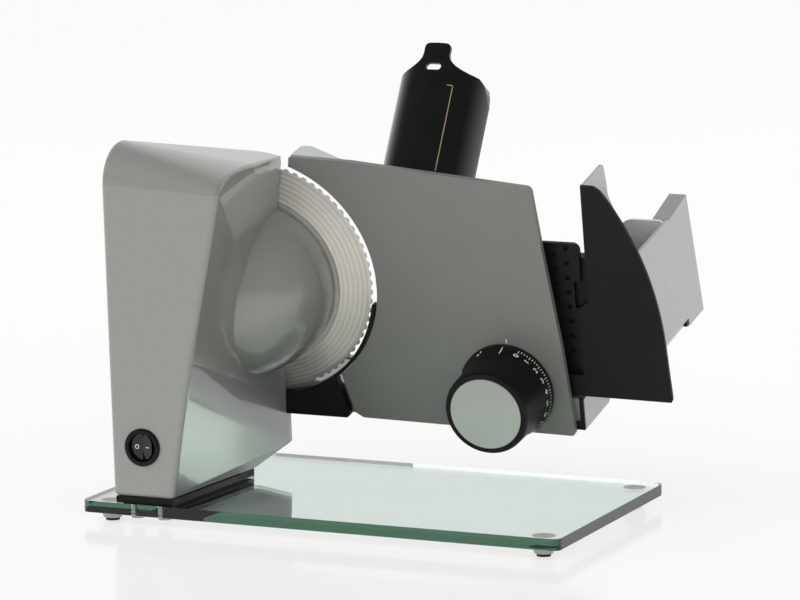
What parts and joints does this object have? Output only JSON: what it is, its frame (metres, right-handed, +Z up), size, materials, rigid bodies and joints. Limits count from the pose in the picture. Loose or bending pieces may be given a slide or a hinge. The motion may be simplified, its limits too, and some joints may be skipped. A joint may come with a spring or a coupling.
{
  "type": "food slicer",
  "caption": "Electric food slicer: a tilted round blade on a narrow motor tower, a sliding food carriage with a remnant holder, a dial-set stop plate and a glass base.",
  "frame": {"origin": "centre of the glass plate in plan, on the plane the feet stand on", "axes": "+X to the right along the carriage's travel, +Y to the back, +Z up"},
  "size_m": [0.3913, 0.2789, 0.3208],
  "materials": {
    "glass": "clear, polished",
    "foot_metal": "satin",
    "rubber": "matt",
    "screw_steel": "zinc plated",
    "housing": "silver grey, satin",
    "black_plastic": "fine grained",
    "gloss_black": "glossy",
    "cast_alloy": "die cast",
    "cover_metal": "satin",
    "blade_steel": "ground and polished",
    "hub_alloy": "turned",
    "bronze": "sintered bronze",
    "gear_plastic": "natural nylon",
    "motor_steel": "pressed sheet",
    "carbon": "pressed carbon",
    "arm_alloy": "anodised",
    "plate_alloy": "anodised, satin",
    "cap_alloy": "brushed disc",
    "carriage_steel": "fine brushed sheet"
  },
  "bodies": {
    "base": {"glass_plate": "glass", "foot_cups": "foot_metal", "foot_pads": "rubber", "plinth_washers": "rubber", "plinth_screws": "screw_steel", "plinth": "black_plastic", "tower_shell": "housing", "switch_bezel": "black_plastic", "cord_gland": "black_plastic", "gland_nut": "black_plastic", "gear_frame": "cast_alloy", "frame_screws": "screw_steel", "gear_cover": "cover_metal", "cover_screws": "screw_steel", "blade_guard": "black_plastic", "blade_axle": "screw_steel", "blade_cover": "black_plastic", "cover_bolt": "screw_steel", "motor_can": "motor_steel", "motor_end_bell": "black_plastic", "motor_brushes": "carbon", "motor_screws": "screw_steel", "arm_beam": "arm_alloy", "arm_end_plate": "arm_alloy", "arm_cap": "black_plastic", "arm_trim": "black_plastic", "arm_screws": "screw_steel", "stop_bushes": "gear_plastic", "spindle_nut": "bronze"},
    "rocker": {"switch_rocker": "gloss_black"},
    "blade_set": {"blade": "blade_steel", "blade_screws": "screw_steel", "blade_hub": "hub_alloy", "hub_bushes": "bronze", "drive_gear": "gear_plastic"},
    "rotor": {"armature": "motor_steel", "motor_pinion": "bronze"},
    "stop_unit": {"stop_plate": "plate_alloy", "stop_ear": "plate_alloy", "stop_guides": "screw_steel", "knob_post": "screw_steel", "knob_screw": "screw_steel"},
    "knob": {"knob_body": "black_plastic", "knob_gear": "gear_plastic", "knob_cap": "cap_alloy"},
    "spindle": {"spindle": "screw_steel", "spindle_gear": "gear_plastic"},
    "carriage": {"carriage_floor": "carriage_steel", "slider_shoes": "black_plastic", "carriage_screws": "screw_steel", "push_wall": "carriage_steel", "thumb_guard": "black_plastic", "outer_wall": "carriage_steel", "grip_frame": "carriage_steel", "carriage_catch": "black_plastic"},
    "holder": {"holder_plate": "black_plastic", "holder_spikes": "black_plastic", "holder_lug": "black_plastic", "holder_hood": "gloss_black"}
  },
  "joints": [
    {"name": "switch_rock", "type": "hinge", "parent": "base", "child": "rocker", "pos_m": [-0.128, -0.098, 0.0546], "axis": [0, 0, 1], "range_deg": [0, 18]},
    {"name": "blade_spin", "type": "hinge", "parent": "base", "child": "blade_set", "pos_m": [-0.1, 0.03, 0.157], "axis": [0, 0.9703, 0.2419], "continuous": true},
    {"name": "motor_spin", "type": "hinge", "parent": "base", "child": "rotor", "pos_m": [-0.125, 0.00096, 0.10813], "axis": [0, 0.9703, 0.2419], "continuous": true},
    {"name": "stop_slide", "type": "slide", "parent": "base", "child": "stop_unit", "axis": [0, -0.9703, -0.2419], "range_m": [0, 0.02]},
    {"name": "knob_turn", "type": "hinge", "parent": "stop_unit", "child": "knob", "pos_m": [0.081, 0.04281, 0.08496], "axis": [0, -0.9703, -0.2419], "range_deg": [0, 300]},
    {"name": "spindle_turn", "type": "hinge", "parent": "stop_unit", "child": "spindle", "pos_m": [0.081, 0.04716, 0.06749], "axis": [0, -0.9703, -0.2419], "range_deg": [-300, 0]},
    {"name": "carriage_slide", "type": "slide", "parent": "base", "child": "carriage", "axis": [1, 0, 0], "range_m": [-0.225, 0]},
    {"name": "holder_slide", "type": "slide", "parent": "carriage", "child": "holder", "axis": [0, 0.9703, 0.2419], "range_m": [0, 0.055]}
  ],
  "couplings": [
    {"joint": "motor_spin", "follows": "blade_spin", "ratio": -5.3333},
    {"joint": "stop_slide", "follows": "knob_turn", "m_per_rad": 0.0038197},
    {"joint": "spindle_turn", "follows": "knob_turn", "ratio": -1}
  ]
}
